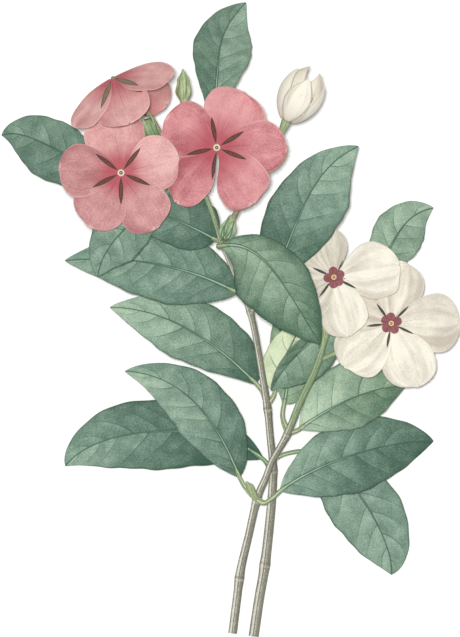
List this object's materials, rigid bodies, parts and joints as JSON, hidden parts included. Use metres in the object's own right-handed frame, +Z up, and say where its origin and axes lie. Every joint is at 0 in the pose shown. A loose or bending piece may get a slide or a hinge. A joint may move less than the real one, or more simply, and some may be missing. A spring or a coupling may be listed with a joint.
{
  "type": "cut madagascar periwinkle sprays",
  "caption": "Crossing cut sprays of Madagascar periwinkle, pink and white, lying on a surface, with opposite oval leaves, flat five-lobed flowers on narrow tubes, and buds.",
  "frame": {"origin": "on the resting surface, under the middle of the lying sprays", "axes": "+Y from the cut ends towards the flowering end, +X to the right seen from above, +Z up off the surface"},
  "size_m": [0.1652, 0.229, 0.0587],
  "materials": {
    "stem": "matte",
    "leaf": "satin",
    "young_green": "satin",
    "pink_petal": "matte",
    "white_petal": "matte"
  },
  "bodies": {
    "root": {"stem_pink": "stem", "stem_white": "stem", "pink_leaf_1_left": "leaf", "pink_leaf_1_right": "leaf", "pink_leaf_2_left": "leaf", "pink_leaf_2_right": "leaf", "pink_leaf_3_left": "leaf", "pink_leaf_3_right": "leaf", "pink_leaf_4_left": "leaf", "pink_leaf_4_right": "leaf", "pink_leaf_5_top": "leaf", "pink_leaf_5_low": "leaf", "pink_leaf_6_left": "leaf", "white_leaf_1_left": "leaf", "white_leaf_1_right": "leaf", "white_leaf_2_up": "leaf", "white_leaf_2_right": "leaf", "white_leaf_3_down": "leaf", "white_leaf_3_up": "leaf", "pink_calyx_1": "young_green", "pink_calyx_2": "young_green", "pink_calyx_3": "young_green", "white_calyx_1": "young_green", "white_calyx_2": "young_green", "white_bud_calyx": "young_green", "green_bud": "young_green", "axillary_bud": "young_green", "young_leaf_left": "young_green", "young_leaf_right": "young_green", "pink_flower_1": "pink_petal", "pink_flower_2": "pink_petal", "pink_flower_3": "pink_petal", "white_flower_1": "white_petal", "white_flower_2": "white_petal", "white_bud": "white_petal"}
  },
  "joints": []
}
